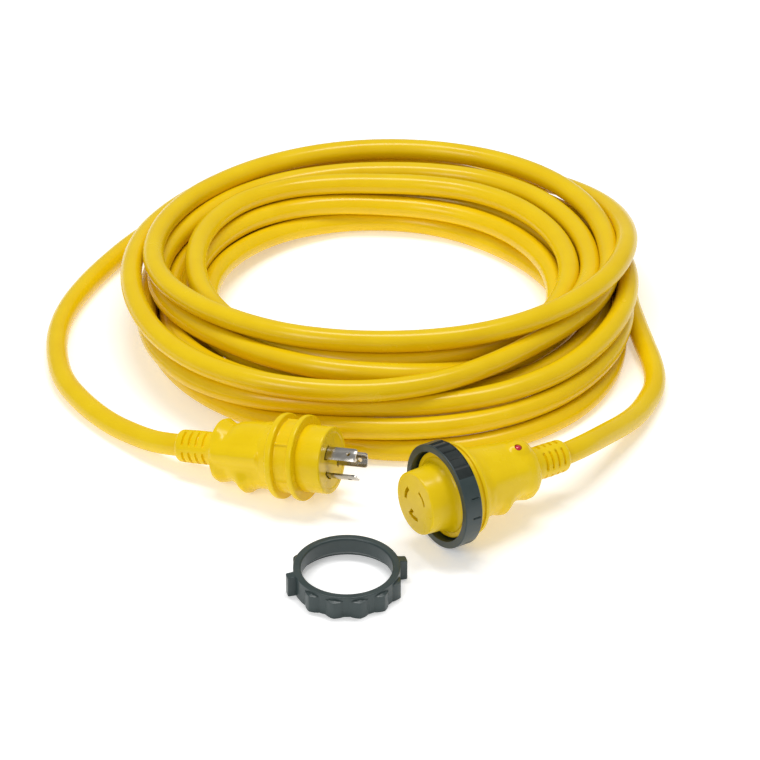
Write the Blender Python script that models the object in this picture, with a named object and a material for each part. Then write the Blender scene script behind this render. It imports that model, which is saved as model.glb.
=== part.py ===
"""Shore power cord: a 30 A locking plug, a locking connector with its captive ring and power light,
a loose locking ring for the plug, and about 13.5 m of 17.5 mm cable wound into a loose coil.

Metres, +Z up, floor at z = 0. The origin lies under the middle of the plug, the connector and the loose ring.
Each end of the cord is built along its own axis: local +X points out of its face, so a station "s" behind
the face is at local x = -s.
"""

import math

import bmesh
import bpy
from mathutils import Vector

# ---------------------------------------------------------------- driving dimensions
GAP = 0.0003                 # between pieces that touch
SEGMENTS = 32                # round a housing
CABLE_RADIUS = 0.00875       # 3 x 10 AWG round jacket, 17.5 mm across

PLUG_FACE = (-0.0309, 0.0461, 0.0390)
PLUG_AZIMUTH = -22.06        # degrees from +X
PLUG_TILT = 8.35             # nose up, lying on its rear flange and its rear grip
CONNECTOR_FACE = (0.0316, -0.0161, 0.0425)
CONNECTOR_AZIMUTH = -147.10
CONNECTOR_TILT = 2.58        # lying on its locking ring
LOOSE_RING_AT = (-0.0191, -0.0602, 0.0)
LOOSE_RING_EARS = 14.0       # direction of one ear, degrees from +X
LOOSE_RING_HEIGHT = 0.0175
COIL_CENTRE = (0.0065, 0.3100)

PITCH_RADIUS = 0.0127        # circle that the three blades stand on
BLADE_THICKNESS = 0.0018
BLADE_TIP = 0.0240           # in front of the plug's face
BLADE_TAIL = 0.0285          # behind it
# position round the axis in degrees, width along the pitch circle, and the ground blade's leg towards
# the axis; a leg below zero stands at the blade's other end, as the connector mirrors the plug
PLUG_BLADES = {"line": (-140.0, 0.0095, 0.0), "neutral": (-22.0, 0.0115, 0.0),
               "ground": (120.0, 0.0105, 0.0034)}
CONNECTOR_SLOTS = {"line": (164.0, 0.0095, 0.0), "neutral": (46.0, 0.0115, 0.0),
                   "ground": (264.0, 0.0105, -0.0034)}
SLOT_CLEARANCE = 0.0003
CONTACT_THICKNESS = 0.0052
CONTACT_WIDTH = 0.0130
CONTACT_FRONT = 0.0085
CONTACT_REAR = 0.0300
SLOT_DEPTH = 0.0095

WIRE_RADIUS = 0.0021
WIRE_SPREAD = 0.0049         # radius of the three conductors where they enter the jacket
LEAD_RADIUS = 0.0005
STRAIN_BORE = CABLE_RADIUS + GAP

COIL_OUTER = 0.2138
COIL_INNER = 0.1345
COIL_HEIGHT = 0.0780

# the route of each uncoiled stretch, from its strain relief to the coil, chosen by hand
PLUG_TAIL = [
    (-0.1700, 0.1075, 0.0148), (-0.1875, 0.1225, 0.0115), (-0.2070, 0.1415, 0.0093),
    (-0.2290, 0.1690, 0.0090), (-0.2480, 0.2037, 0.0090), (-0.2565, 0.2394, 0.0090),
    (-0.2585, 0.2757, 0.0090), (-0.2534, 0.3129, 0.0090), (-0.2420, 0.3508, 0.0090),
    (-0.2235, 0.3925, 0.0090), (-0.2018, 0.4300, 0.0090), (-0.1747, 0.4620, 0.0090),
    (-0.1430, 0.4880, 0.0090), (-0.1075, 0.5075, 0.0090), (-0.0770, 0.5185, 0.0090),
]
CONNECTOR_TAIL = [
    (0.1600, 0.0710, 0.0345), (0.1705, 0.0855, 0.0305), (0.1802, 0.1005, 0.0260),
    (0.1955, 0.1250, 0.0185), (0.2085, 0.1490, 0.0125), (0.2180, 0.1720, 0.0095),
    (0.2245, 0.1900, 0.0090), (0.2275, 0.2080, 0.0090), (0.2281, 0.2230, 0.0090),
    (0.2272, 0.2400, 0.0090), (0.2252, 0.2575, 0.0090),
]

COLOURS = {                  # base colour, roughness, metallic
    "cable_jacket": ((0.90, 0.66, 0.02), 0.35, 0.0),
    "housing_yellow": ((0.92, 0.68, 0.02), 0.38, 0.0),
    "insert_yellow": ((0.82, 0.60, 0.04), 0.50, 0.0),
    "ring_black": ((0.035, 0.045, 0.045), 0.45, 0.0),
    "blade_nickel": ((0.75, 0.75, 0.73), 0.25, 1.0),
    "contact_brass": ((0.78, 0.60, 0.28), 0.30, 1.0),
    "wire_black": ((0.02, 0.02, 0.02), 0.50, 0.0),
    "wire_white": ((0.85, 0.85, 0.83), 0.50, 0.0),
    "wire_green": ((0.02, 0.25, 0.06), 0.50, 0.0),
    "lens_red": ((0.65, 0.01, 0.02), 0.12, 0.0),
    "led_clear": ((0.80, 0.20, 0.18), 0.15, 0.0),
    "resistor_tan": ((0.60, 0.45, 0.28), 0.55, 0.0),
    "lead_tinned": ((0.70, 0.70, 0.68), 0.35, 1.0),
}


# ---------------------------------------------------------------- helpers
def clear_scene():
    for obj in list(bpy.data.objects):
        bpy.data.objects.remove(obj, do_unlink=True)


def material(name):
    found = bpy.data.materials.get(name)
    if found:
        return found
    colour, roughness, metallic = COLOURS[name]
    made = bpy.data.materials.new(name)
    made.use_nodes = True
    shader = made.node_tree.nodes["Principled BSDF"]
    shader.inputs["Base Color"].default_value = (*colour, 1.0)
    shader.inputs["Roughness"].default_value = roughness
    shader.inputs["Metallic"].default_value = metallic
    return made


def axis_empty(name, at, azimuth=0.0, tilt=0.0, parent=None):
    """An empty whose local +X points along azimuth and tilt."""
    empty = bpy.data.objects.new(name, None)
    empty.location = at
    empty.rotation_euler = (0.0, -math.radians(tilt), math.radians(azimuth))
    empty.parent = parent
    bpy.context.scene.collection.objects.link(empty)
    return empty


def finish_mesh(name, bm, slot, parent, smooth=True):
    bmesh.ops.recalc_face_normals(bm, faces=bm.faces)
    mesh = bpy.data.meshes.new(name)
    bm.to_mesh(mesh)
    bm.free()
    mesh.materials.append(material(slot))
    if smooth:
        mesh.shade_smooth()
        mesh.set_sharp_from_angle(angle=math.radians(35))
    obj = bpy.data.objects.new(name, mesh)
    obj.parent = parent
    bpy.context.scene.collection.objects.link(obj)
    return obj


def turned(name, profile, slot, parent, segments=SEGMENTS):
    """Turns a profile of (station, radius) round the local X axis.

    A radius may be a function of the angle. A profile that starts and ends at radius 0 is a solid
    of its own; any other is closed on itself, as for a sleeve or a ring."""
    bm = bmesh.new()
    loops = []
    for station, radius in profile:
        if radius == 0.0:
            loops.append([bm.verts.new((-station, 0.0, 0.0))])
            continue
        ring = []
        for i in range(segments):
            angle = 2 * math.pi * i / segments
            r = radius(angle) if callable(radius) else radius
            ring.append(bm.verts.new((-station, r * math.cos(angle), r * math.sin(angle))))
        loops.append(ring)
    solid = profile[0][1] == 0.0
    pairs = list(zip(loops, loops[1:])) if solid else list(zip(loops, loops[1:] + loops[:1]))
    for first, second in pairs:
        for i in range(segments):
            j = (i + 1) % segments
            corners = []
            for vert in (first[i % len(first)], first[j % len(first)],
                         second[j % len(second)], second[i % len(second)]):
                if vert not in corners:
                    corners.append(vert)
            bm.faces.new(corners)
    return finish_mesh(name, bm, slot, parent)


def prism(name, outline, front, rear, slot, parent):
    """A flat outline of (y, z) points, extruded along local X between two stations."""
    bm = bmesh.new()
    ends = [[bm.verts.new((-s, y, z)) for y, z in outline] for s in (front, rear)]
    for i in range(len(outline)):
        j = (i + 1) % len(outline)
        bm.faces.new((ends[0][i], ends[0][j], ends[1][j], ends[1][i]))
    bm.faces.new(ends[0])
    bm.faces.new(list(reversed(ends[1])))
    return finish_mesh(name, bm, slot, parent, smooth=False)


def polar(radius, angle):
    return (radius * math.cos(angle), radius * math.sin(angle))


def arc_outline(centre_deg, width, thickness, hook=0.0, grow=0.0, steps=6):
    """Outline of a curved blade on the pitch circle. A hook is a leg towards the axis at one end."""
    if hook < 0.0:
        mirrored = arc_outline(-centre_deg, width, thickness, -hook, grow, steps)
        return [(y, -z) for y, z in reversed(mirrored)]
    outer = PITCH_RADIUS + thickness / 2 + grow
    inner = PITCH_RADIUS - thickness / 2 - grow
    half = (width / 2 + grow) / PITCH_RADIUS
    middle = math.radians(centre_deg)
    sweep = [middle - half + 2 * half * i / steps for i in range(steps + 1)]
    points = [polar(outer, a) for a in sweep]
    if hook:
        foot = inner - hook
        leg = (thickness + 2 * grow) / inner
        points += [polar(foot, sweep[-1]), polar(foot, sweep[-1] - leg * inner / foot)]
        points.append(polar(inner, sweep[-1] - leg))
        points += [polar(inner, a) for a in reversed(sweep) if a < sweep[-1] - leg - 0.02]
    else:
        points += [polar(inner, a) for a in reversed(sweep)]
    return points


def along(parent_at, azimuth, tilt, station):
    """World place of a station on the axis of one end."""
    a, t = math.radians(azimuth), math.radians(tilt)
    out = Vector((math.cos(a) * math.cos(t), math.sin(a) * math.cos(t), math.sin(t)))
    return Vector(parent_at) - out * station


def smooth_route(points, spacing):
    """Places about a spacing apart on the smooth curve through the points (Catmull-Rom)."""
    pts = [Vector(p) for p in points]
    pts = [2 * pts[0] - pts[1]] + pts + [2 * pts[-1] - pts[-2]]
    made = []
    for p0, p1, p2, p3 in zip(pts, pts[1:], pts[2:], pts[3:]):
        count = max(1, round((p2 - p1).length / spacing))
        for i in range(count):
            t = i / count
            made.append(0.5 * (2 * p1 + (p2 - p0) * t + (2 * p0 - 5 * p1 + 4 * p2 - p3) * t * t
                               + (3 * p1 - p0 - 3 * p2 + p3) * t ** 3))
    made.append(pts[-2])
    return made


def tube(name, points, radius, slot, parent=None, resolution=2):
    """A round tube of one POLY spline with closed ends."""
    curve = bpy.data.curves.new(name, "CURVE")
    curve.dimensions = "3D"
    curve.bevel_depth = radius
    curve.bevel_resolution = resolution
    curve.use_fill_caps = True
    spline = curve.splines.new("POLY")
    spline.points.add(len(points) - 1)
    for target, point in zip(spline.points, points):
        target.co = (*point, 1.0)
    curve.materials.append(material(slot))
    obj = bpy.data.objects.new(name, curve)
    obj.parent = parent
    bpy.context.scene.collection.objects.link(obj)
    return obj


def boolean(target, cutters, operation):
    for cutter in cutters:
        cutter.hide_render = True
        cutter.display_type = "WIRE"
        step = target.modifiers.new(cutter.name, "BOOLEAN")
        step.operation = operation
        step.object = cutter
        step.solver = "EXACT"


# ---------------------------------------------------------------- pieces of one end
def strain_relief(name, body_end, rear_radius, parent):
    """A tapered sleeve with four flex grooves. Its front spigot sits in the housing's rear hole."""
    spigot = 0.0057
    length = 0.0305
    front_radius = 0.0128
    groove_depth = 0.0013
    groove_width = 0.0016
    first_groove = 0.0085
    groove_pitch = 0.0050
    outer = [(body_end - spigot, STRAIN_BORE), (body_end - spigot, front_radius)]
    slope = (rear_radius - front_radius) / length
    for i in range(4):
        start = first_groove + i * groove_pitch
        for s, depth in ((start, 0.0), (start, groove_depth),
                         (start + groove_width, groove_depth), (start + groove_width, 0.0)):
            outer.append((body_end + s, front_radius + slope * s - depth))
    outer += [(body_end + length - 0.0025, rear_radius), (body_end + length, rear_radius - 0.0020)]
    outer.append((body_end + length, STRAIN_BORE))
    return turned(name, outer, "housing_yellow", parent, 24)


def conductors(end, layout, start, jacket_end, parent):
    """The three insulated wires, from the jacket's end to the tails of the blades or contacts."""
    slots = {"line": "wire_black", "neutral": "wire_white", "ground": "wire_green"}
    straight = 0.008
    for name, (degrees, _, _) in layout.items():
        angle = math.radians(degrees)
        length = jacket_end - start
        stations = [(start, PITCH_RADIUS), (start + straight, PITCH_RADIUS),
                    (start + 0.40 * length, 0.0108), (start + 0.70 * length, 0.0062),
                    (jacket_end - straight, WIRE_SPREAD), (jacket_end, WIRE_SPREAD)]
        points = [(-s, *polar(r, angle)) for s, r in stations]
        tube(f"{end}_{name}_wire", smooth_route(points, 0.008), WIRE_RADIUS, slots[name], parent)


# ---------------------------------------------------------------- plug
def build_plug():
    plug = axis_empty("plug_axis", PLUG_FACE, PLUG_AZIMUTH, PLUG_TILT)
    body_end = 0.0955
    profile = [
        (0.0204, 0.0222), (0.0204, 0.0322), (0.0214, 0.0332), (0.0264, 0.0332), (0.0274, 0.0322),
        (0.0276, 0.0283), (0.0370, 0.0283), (0.0372, 0.0324), (0.0380, 0.0332), (0.0418, 0.0332),
        (0.0427, 0.0323), (0.0440, 0.0280), (0.0500, 0.0264), (0.0585, 0.0262), (0.0640, 0.0272),
        (0.0680, 0.0280), (0.0720, 0.0266), (0.0765, 0.0240), (0.0810, 0.0228), (0.0860, 0.0238),
        (0.0905, 0.0247), (0.0935, 0.0236), (0.0950, 0.0205), (body_end, 0.0155),
        (body_end, 0.0131), (0.0740, 0.0150), (0.0600, 0.0180), (0.0445, 0.0180),
        (0.0445, 0.0222),
    ]
    turned("plug_body", profile, "housing_yellow", plug)
    strain_relief("plug_strain_relief", body_end, 0.0124, plug)

    carrier = turned("plug_blade_carrier", [
        (0.0, 0.0), (0.0, 0.0249), (0.0010, 0.0259), (0.0201, 0.0259), (0.0201, 0.0219),
        (0.0260, 0.0219), (0.0260, 0.0)], "insert_yellow", plug)
    cutters = []
    for name, (degrees, width, hook) in PLUG_BLADES.items():
        outline = arc_outline(degrees, width, BLADE_THICKNESS, hook)
        prism(f"plug_{name}_blade", outline, -BLADE_TIP, BLADE_TAIL, "blade_nickel", plug)
        slot = arc_outline(degrees, width, BLADE_THICKNESS, hook, GAP)
        cutters.append(prism(f"cut_plug_{name}", slot, -0.005, 0.030, "insert_yellow", plug))
    boolean(carrier, cutters, "DIFFERENCE")
    conductors("plug", PLUG_BLADES, BLADE_TAIL + GAP, 0.0907, plug)


# ---------------------------------------------------------------- connector
def build_connector():
    connector = axis_empty("connector_axis", CONNECTOR_FACE, CONNECTOR_AZIMUTH, CONNECTOR_TILT)
    body_end = 0.1050
    body = turned("connector_body", [
        (0.0296, 0.0263), (0.0296, 0.0307), (0.0340, 0.0307), (0.0340, 0.0355), (0.0347, 0.0361),
        (0.0430, 0.0361), (0.0440, 0.0350), (0.0446, 0.0315), (0.0500, 0.0290), (0.0580, 0.0276),
        (0.0640, 0.0278), (0.0685, 0.0280), (0.0735, 0.0262), (0.0785, 0.0238), (0.0835, 0.0228),
        (0.0925, 0.0234), (0.0965, 0.0232), (0.1005, 0.0206), (0.1030, 0.0180), (body_end, 0.0155),
        (body_end, 0.0131), (0.0960, 0.0150), (0.0720, 0.0180), (0.0500, 0.0180), (0.0455, 0.0263),
    ], "housing_yellow", connector)
    strain_relief("connector_strain_relief", body_end, 0.0124, connector)

    # the power light sits in a low boss on top of the grip
    lens_station, lens_degrees = 0.0880, 77.0
    light = axis_empty("indicator_axis", (-lens_station, 0.0, 0.0), parent=connector)
    tilt = math.radians(lens_degrees)
    light.rotation_mode = "QUATERNION"
    radial = Vector((0.0, math.cos(tilt), math.sin(tilt)))
    light.rotation_quaternion = Vector((1.0, 0.0, 0.0)).rotation_difference(radial)
    boss = turned("add_boss", [(-0.0180, 0.0), (-0.0180, 0.0085), (-0.0225, 0.0075),
                               (-0.0243, 0.0055), (-0.0243, 0.0)], "housing_yellow", light, 20)
    well = turned("cut_well", [(-0.0100, 0.0), (-0.0100, 0.0029), (-0.0300, 0.0029),
                               (-0.0300, 0.0)], "housing_yellow", light, 16)
    boolean(body, [boss], "UNION")
    boolean(body, [well], "DIFFERENCE")
    turned("indicator_lens", [(-0.0205, 0.0), (-0.0205, 0.0026), (-0.0243, 0.0026),
                              (-0.0250, 0.0020), (-0.0254, 0.0)], "lens_red", light, 16)
    turned("indicator_led", [(-0.0136, 0.0), (-0.0136, 0.0024), (-0.0180, 0.0024),
                             (-0.0196, 0.0016), (-0.0202, 0.0)], "led_clear", light, 12)

    carrier = turned("connector_contact_carrier", [
        (0.0, 0.0), (0.0, 0.0233), (0.0010, 0.0243), (0.0150, 0.0255), (0.0215, 0.0264),
        (0.0240, 0.0266), (0.0240, 0.0260), (0.0440, 0.0260), (0.0440, 0.0)], "insert_yellow", connector)
    # a washer on the carrier, in front of the body, that keeps the locking ring on
    turned("connector_ring_retainer", [
        (0.0243, 0.0263), (0.0243, 0.0335), (0.0293, 0.0335), (0.0293, 0.0263)],
        "insert_yellow", connector)
    cutters = []
    for name, (degrees, width, hook) in CONNECTOR_SLOTS.items():
        outline = arc_outline(degrees, width, BLADE_THICKNESS, hook, SLOT_CLEARANCE)
        cutters.append(prism(f"cut_{name}_slot", outline, -0.005, SLOT_DEPTH, "insert_yellow", connector))
        pocket = arc_outline(degrees, CONTACT_WIDTH, CONTACT_THICKNESS, 0.0, GAP)
        cutters.append(prism(f"cut_{name}_pocket", pocket, CONTACT_FRONT - GAP, 0.060,
                             "insert_yellow", connector))
        contact = prism(f"connector_{name}_contact",
                        arc_outline(degrees, CONTACT_WIDTH, CONTACT_THICKNESS),
                        CONTACT_FRONT, CONTACT_REAR, "contact_brass", connector)
        jaw = arc_outline(degrees, 2 * CONTACT_WIDTH, BLADE_THICKNESS, 0.0, 0.0001)
        boolean(contact, [prism(f"cut_{name}_jaw", jaw, 0.0, CONTACT_FRONT + 0.0140,
                                "contact_brass", connector)], "DIFFERENCE")
    boolean(carrier, cutters, "DIFFERENCE")
    conductors("connector", CONNECTOR_SLOTS, CONTACT_REAR + GAP, 0.1002, connector)

    turned("connector_locking_ring", [
        (0.0190, 0.0352), (0.0190, 0.0397), (0.0200, 0.0407), (0.0327, 0.0407), (0.0337, 0.0397),
        (0.0337, 0.0311), (0.0296, 0.0311), (0.0296, 0.0352)], "ring_black", connector, 48)
    build_indicator_leads(connector)


def build_indicator_leads(connector):
    """The power light is wired across line and neutral, with a resistor in the line's lead."""
    def at(station, radius, degrees):
        return (-station, *polar(radius, math.radians(degrees)))

    first = CONTACT_REAR + GAP
    foot = 0.0133
    neutral = [at(first, PITCH_RADIUS, 67.5), at(0.046, PITCH_RADIUS, 67.5), at(0.064, 0.0132, 70.0),
               at(0.080, 0.0118, 74.0), at(0.0861, 0.0119, 75.0), at(0.0873, foot, 75.0)]
    tube("indicator_neutral_lead", smooth_route(neutral, 0.006), LEAD_RADIUS, "lead_tinned", connector)
    line = [at(first, PITCH_RADIUS, 143.0), at(0.044, PITCH_RADIUS, 143.0), at(0.052, 0.0138, 138.0)]
    tube("indicator_line_lead", smooth_route(line, 0.006), LEAD_RADIUS, "lead_tinned", connector)
    after = [at(0.0595, 0.0138, 132.0), at(0.072, 0.0132, 108.0), at(0.083, 0.0120, 90.0),
             at(0.0890, 0.0119, 83.0), at(0.0893, foot, 82.0)]
    tube("indicator_resistor_lead", smooth_route(after, 0.006), LEAD_RADIUS, "lead_tinned", connector)
    start, stop = Vector(line[-1]), Vector(after[0])
    way = (stop - start).normalized()
    start, stop = start + way * 0.0006, stop - way * 0.0006
    body = axis_empty("resistor_axis", start, parent=connector)
    body.rotation_mode = "QUATERNION"
    body.rotation_quaternion = Vector((1.0, 0.0, 0.0)).rotation_difference(way)
    length = (stop - start).length
    turned("indicator_resistor", [(0.0, 0.0), (0.0, 0.0009), (-0.0006, 0.0012),
                                  (-length + 0.0006, 0.0012), (-length, 0.0009), (-length, 0.0)],
           "resistor_tan", body, 12)


# ---------------------------------------------------------------- loose locking ring
def build_loose_ring():
    """The plug's locking ring: ten grip lobes and two taller ears round a bore that widens below."""
    valley = 0.0400
    lobe_height = 0.0025
    first_lobe = 36.0            # degrees from an ear
    lobe_pitch = 27.0
    lobe_half = 11.0
    ear = 0.0458
    ear_half = 5.0
    bore = 0.0340
    relief = 0.0384              # radius of the bore at the floor
    relief_height = 0.0056
    chamfer = 0.0008

    def outer(angle):
        turn = math.degrees(angle) % 180.0
        if min(turn, 180.0 - turn) < ear_half:
            return ear
        away = min(abs(turn - first_lobe - i * lobe_pitch) for i in range(5))
        if away > lobe_half:
            return valley
        return valley + lobe_height * math.cos(math.pi / 2 * away / lobe_half) ** 0.7

    def eased(angle):
        return outer(angle) - chamfer

    stand = axis_empty("loose_ring_axis", LOOSE_RING_AT)
    # local +X points up, and the angle round it starts at an ear
    stand.rotation_euler = (0.0, -math.pi / 2, math.radians(LOOSE_RING_EARS - 90.0))
    top = LOOSE_RING_HEIGHT
    turned("plug_locking_ring", [
        (-top, bore + chamfer), (-top, eased), (chamfer - top, outer), (-chamfer, outer), (0.0, eased),
        (0.0, relief), (-chamfer, relief), (-relief_height, bore), (chamfer - top, bore)],
        "ring_black", stand, 120)


# ---------------------------------------------------------------- cable
def build_cable():
    """The coil's outer shape as one turned ring, and a tube along each uncoiled stretch."""
    centre = axis_empty("coil_axis", (*COIL_CENTRE, 0.0))
    centre.rotation_euler = (0.0, -math.pi / 2, 0.0)
    edge = 0.006
    turned("cable_coil", [
        (-edge, COIL_INNER), (-COIL_HEIGHT + edge, COIL_INNER), (-COIL_HEIGHT, COIL_INNER + edge),
        (-COIL_HEIGHT, COIL_OUTER - edge), (-COIL_HEIGHT + edge, COIL_OUTER), (-edge, COIL_OUTER),
        (0.0, COIL_OUTER - edge), (0.0, COIL_INNER + edge)], "cable_jacket", centre, 64)

    ends = (
        ("cable_plug_tail", PLUG_FACE, PLUG_AZIMUTH, PLUG_TILT, (0.0910, 0.1085, 0.1260), PLUG_TAIL),
        ("cable_connector_tail", CONNECTOR_FACE, CONNECTOR_AZIMUTH, CONNECTOR_TILT,
         (0.1005, 0.1180, 0.1355), CONNECTOR_TAIL),
    )
    for name, face, azimuth, tilt, stations, route in ends:
        inside = [along(face, azimuth, tilt, s) for s in stations]
        tube(name, smooth_route([*inside, *route], 0.020), CABLE_RADIUS, "cable_jacket", None, 3)


clear_scene()
build_plug()
build_connector()
build_loose_ring()
build_cable()
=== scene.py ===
"""The look of the shore power cord: the coiled cable, the two moulded ends, their locking rings and the
small parts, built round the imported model. Metres, +Z up, floor at z = 0."""
import math

import bmesh
import bpy
import numpy as np
from mathutils import Matrix, Vector


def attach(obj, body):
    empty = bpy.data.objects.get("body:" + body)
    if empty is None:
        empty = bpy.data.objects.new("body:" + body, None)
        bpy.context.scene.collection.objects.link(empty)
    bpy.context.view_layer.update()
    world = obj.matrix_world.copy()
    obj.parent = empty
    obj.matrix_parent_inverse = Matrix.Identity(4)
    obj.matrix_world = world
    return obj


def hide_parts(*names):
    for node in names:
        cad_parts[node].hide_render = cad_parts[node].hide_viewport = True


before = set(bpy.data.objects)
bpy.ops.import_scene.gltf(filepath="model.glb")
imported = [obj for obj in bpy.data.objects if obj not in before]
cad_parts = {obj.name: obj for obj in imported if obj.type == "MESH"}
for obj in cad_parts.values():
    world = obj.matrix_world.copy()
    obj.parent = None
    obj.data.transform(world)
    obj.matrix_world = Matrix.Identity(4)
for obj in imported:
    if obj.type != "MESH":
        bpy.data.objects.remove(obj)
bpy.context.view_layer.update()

# ---------------------------------------------------------------- places, as in part.py
PLUG_FACE = (-0.0309, 0.0461, 0.0390)
PLUG_AZIMUTH, PLUG_TILT = -22.06, 8.35
CONNECTOR_FACE = (0.0316, -0.0161, 0.0425)
CONNECTOR_AZIMUTH, CONNECTOR_TILT = -147.10, 2.58
LOOSE_RING_AT = (-0.0191, -0.0602)
LOOSE_RING_EARS = 14.0
COIL_CENTRE = (0.0065, 0.3100)
PITCH_RADIUS = 0.0127
BLADE_THICKNESS = 0.0018
PLUG_BLADES = {"line": (-140.0, 0.0095, 0.0), "neutral": (-22.0, 0.0115, 0.0),
               "ground": (120.0, 0.0105, 0.0034)}
CONNECTOR_SLOTS = {"line": (164.0, 0.0095, 0.0), "neutral": (46.0, 0.0115, 0.0),
                   "ground": (264.0, 0.0105, -0.0034)}
CABLE_RADIUS = 0.00875

# stations on each end's axis that the cable passes through, one cable's width apart, and where it comes out
PLUG_STRAIGHT = (0.0910, 0.1085, 0.1260)
CONNECTOR_STRAIGHT = (0.1355, 0.1180, 0.1005)

# the uncoiled stretch at each end, given point by point. Near the coil some points lie up to 5 mm from
# part.py's.
PLUG_TAIL = [
    (-0.1700, 0.1075, 0.0148), (-0.1875, 0.1225, 0.0115), (-0.2070, 0.1415, 0.0093),
    (-0.2290, 0.1690, 0.0090), (-0.2480, 0.2037, 0.0090), (-0.2565, 0.2394, 0.0090),
    (-0.2585, 0.2757, 0.0090), (-0.2532, 0.3122, 0.0090), (-0.2408, 0.3490, 0.0090),
    (-0.2215, 0.3890, 0.0090), (-0.1995, 0.4255, 0.0090), (-0.1730, 0.4580, 0.0090),
    (-0.1430, 0.4880, 0.0090), (-0.1075, 0.5075, 0.0090), (-0.0770, 0.5185, 0.0090),
]
CONNECTOR_TAIL = [
    (0.1600, 0.0710, 0.0345), (0.1705, 0.0855, 0.0305), (0.1802, 0.1005, 0.0260),
    (0.1955, 0.1250, 0.0185), (0.2085, 0.1490, 0.0125), (0.2180, 0.1720, 0.0095),
    (0.2242, 0.1900, 0.0090), (0.2266, 0.2080, 0.0090), (0.2262, 0.2230, 0.0090),
    (0.2243, 0.2400, 0.0090), (0.2212, 0.2575, 0.0090),
]

# the coil, turn by turn, clockwise from above: at each direction round its centre, how far the cable's
# middle is from the centre, how high it is, and how firmly it is held there while the turns settle.
# The last row is the part of a turn that ends at the connector's tail.
DIRECTIONS = (90, 45, 0, -45, -90, -135, -180, -225)
TURNS = (
    ((.2160, .0110, .15), (.2235, .0345, .4), (.1985, .0650, .45), (.1650, .0715, .9),
     (.1470, .0715, 1.), (.1593, .0680, .9), (.1870, .0580, .9), (.1925, .0505, .9)),
    ((.2005, .0480, .45), (.2045, .0480, .3), (.1890, .0480, .3), (.1700, .0520, .6),
     (.1900, .0530, .9), (.2060, .0510, .9), (.2038, .0500, .8), (.2010, .0370, .5)),
    ((.2070, .0290, .15), (.1960, .0310, .15), (.2010, .0410, .6), (.2010, .0390, .7),
     (.1900, .0355, .8), (.2065, .0340, .8), (.1925, .0280, .6), (.1975, .0330, .6)),
    ((.1760, .0245, .1), (.1810, .0260, .1), (.1850, .0305, .1), (.1775, .0350, .1),
     (.1645, .0385, .3), (.1840, .0420, .2), (.1740, .0260, .1), (.1750, .0260, .1)),
    ((.1590, .0262, .1), (.1620, .0270, .1), (.1620, .0270, .1), (.1600, .0350, .4),
     (.1680, .0555, 1.), (.1665, .0505, .8), (.1850, .0405, .7), (.1805, .0405, .5)),
    ((.1720, .0410, .5), (.1800, .0440, .4), (.1735, .0440, .3), (.1535, .0515, .5),
     (.1500, .0535, .9), (.1475, .0520, .8), (.1525, .0510, .6), (.1620, .0465, .5)),
    ((.1470, .0445, .8), (.1570, .0450, .7), (.1565, .0435, .4), (.1430, .0370, .2),
     (.1470, .0360, .2), (.1560, .0350, .1), (.1570, .0335, .3), (.1540, .0310, .5)),
    ((.1425, .0262, .8), (.1450, .0262, .6), (.1450, .0270, .4), (.1440, .0200, .1),
     (.1455, .0185, .1), (.1460, .0180, .1), (.1470, .0200, .1), (.1450, .0150, .2)),
    ((.1455, .0090, .7), (.1435, .0090, .5), (.1550, .0090, .3), (.1620, .0090, .1),
     (.1620, .0090, .1), (.1600, .0090, .1), (.1530, .0090, .1), (.1580, .0090, .1)),
    ((.1630, .0090, .2), (.1740, .0090, .2), (.1915, .0090, .5), (.2132, .0090, .9),
     (.2062, .0090, .9), (.1800, .0090, .6), (.1690, .0090, .2), (.1760, .0090, .1)),
    ((.1805, .0090, .1), (.1900, .0130, .2), (.1990, .0240, .5), (.2075, .0225, .8),
     (.1990, .0215, .9), (.1960, .0185, .6), (.1850, .0090, .2), (.1930, .0090, .1)),
    ((.1960, .0090, .2), (.2080, .0090, .4), (.2060, .0090, .9)),
)
COIL_ENTRY = 112.0           # direction in which the plug's tail meets the coil
TABLE_STEP = 15.0            # degrees between the places worked out from the table
PLANNED_LYING = 0.009        # height of the plan where it lies on the floor
SPACING = 0.007              # between the points of the cord
TOUCHING = 0.0176            # between the middles of two turns that lie on each other
LYING = 0.00885              # height of the cable's middle where it lies on the floor
SETTLE_STEPS = 400
NEAR_EVERY = 10              # steps between searches for the pairs that may touch
NEAR = 1.45                  # those pairs are within this many times TOUCHING
APART_ALONG = 3.2            # points within this many diameters along the cord never push each other
END_POINTS = 12.0            # points over which the coil's freedom fades in at each tail
PULL = 0.05                  # share of the way back to the plan in one step
BENDS = ((1, 0.22), (3, 0.14), (6, 0.06))    # points each way that a bend is measured over, and its share


def outward(azimuth, tilt):
    a, t = math.radians(azimuth), math.radians(tilt)
    return np.array((math.cos(a) * math.cos(t), math.sin(a) * math.cos(t), math.sin(t)))


def station(face, azimuth, tilt, s):
    """World place on the axis of one end, s behind its face."""
    return np.array(face) - outward(azimuth, tilt) * s


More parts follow.
